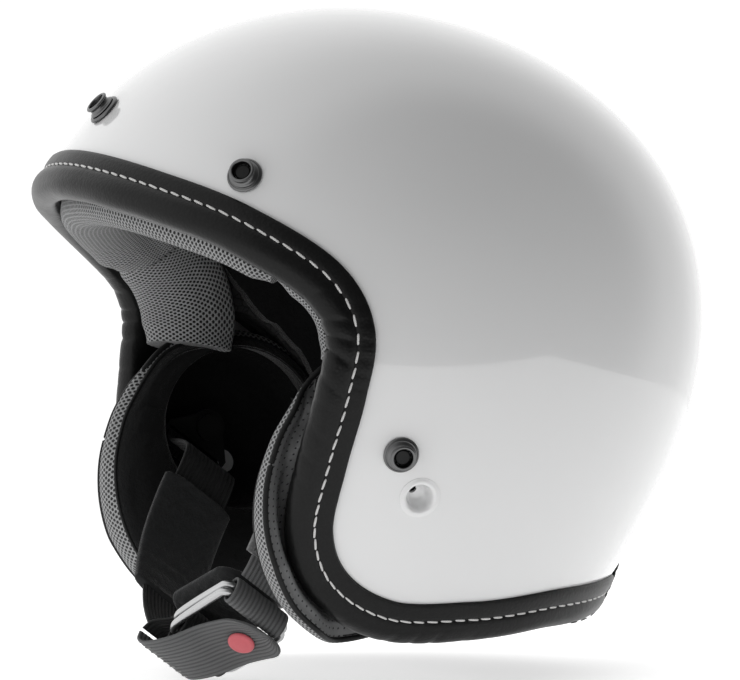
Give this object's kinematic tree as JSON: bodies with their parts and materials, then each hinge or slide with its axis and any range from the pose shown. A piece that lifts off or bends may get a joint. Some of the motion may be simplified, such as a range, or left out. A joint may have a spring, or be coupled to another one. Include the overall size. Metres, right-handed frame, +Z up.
{
  "type": "open face motorcycle helmet",
  "caption": "Open face motorcycle helmet: gloss shell with a leather edge trim, visor snaps, padded lining and a double ring chin strap that swings.",
  "frame": {"origin": "centre of the head space, on the centre plane, 115 mm under the outside of the crown", "axes": "+Z up, the face looks along -Y, the wearer's left is +X"},
  "size_m": [0.2322, 0.2549, 0.2497],
  "materials": {
    "shell_gloss": "white gloss lacquer on a moulded shell",
    "gunmetal": "dark plated snap",
    "bright_steel": "plain steel",
    "ring_steel": "satin steel wire",
    "trim_leather": "black leather with a soft sheen and a white stitch line",
    "lining_leather": "black lining leather",
    "cheek_leather": "grey perforated leather with black fleece face and mesh band",
    "liner_foam": "expanded foam beads",
    "pad_plate": "moulded plate",
    "black_fleece": "short pile fleece",
    "grey_mesh": "open spacer mesh",
    "webbing": "ribbed webbing",
    "grey_vinyl": "stitched vinyl",
    "red_plastic": "red moulded cap"
  },
  "bodies": {
    "helmet": {"shell": "shell_gloss", "edge_trim": "trim_leather", "foam_liner": "liner_foam", "cheek_pad_left": "cheek_leather", "cheek_pad_right": "cheek_leather", "crown_pad": "black_fleece", "neck_roll": "lining_leather", "brow_pad": "grey_mesh", "cheek_block_left": "liner_foam", "cheek_plate_left": "pad_plate", "cheek_block_right": "liner_foam", "cheek_plate_right": "pad_plate", "snap_stud_centre": "gunmetal", "snap_stud_front_left": "gunmetal", "snap_stud_front_right": "gunmetal", "snap_stud_side_left": "gunmetal", "snap_stud_side_right": "gunmetal", "temple_pad_left": "grey_mesh", "temple_pad_right": "grey_mesh", "strap_anchor_left": "bright_steel", "strap_anchor_right": "bright_steel", "snap_base_centre": "gunmetal", "snap_base_front_left": "gunmetal", "snap_base_front_right": "gunmetal", "snap_base_side_left": "gunmetal", "snap_base_side_right": "gunmetal", "snap_rivet_centre": "bright_steel", "snap_rivet_front_left": "bright_steel", "snap_rivet_front_right": "bright_steel", "snap_rivet_side_left": "bright_steel", "snap_rivet_side_right": "bright_steel", "goggle_tab_hook": "lining_leather", "goggle_tab_rivet": "bright_steel"},
    "chin_strap": {"strap_right": "webbing", "d_ring_inner": "ring_steel", "d_ring_outer": "ring_steel", "strap_left": "webbing", "strap_cover_left": "grey_vinyl", "strap_cover_right": "black_fleece", "strap_end_loop": "webbing", "strap_hanger_left": "bright_steel", "strap_hanger_right": "bright_steel", "chin_pad": "black_fleece"},
    "strap_tail": {"strap_tail": "webbing", "tail_snap_cap": "red_plastic", "tail_snap_socket": "bright_steel"},
    "goggle_flap": {"goggle_tab_flap": "trim_leather", "goggle_tab_snap_cap": "gunmetal"}
  },
  "joints": [
    {"name": "chin_strap_swing", "type": "hinge", "parent": "helmet", "child": "chin_strap", "pos_m": [0, -0.023, -0.047], "axis": [1, 0, 0], "range_deg": [-40, 12]},
    {"name": "strap_tail_fold", "type": "hinge", "parent": "chin_strap", "child": "strap_tail", "pos_m": [0.01088, -0.07701, -0.12301], "axis": [0, 0.8, -0.6], "range_deg": [0, 85]},
    {"name": "goggle_flap_hinge", "type": "hinge", "parent": "helmet", "child": "goggle_flap", "pos_m": [0, 0.0785, -0.116], "axis": [-1, 0, 0], "range_deg": [0, 100]}
  ]
}
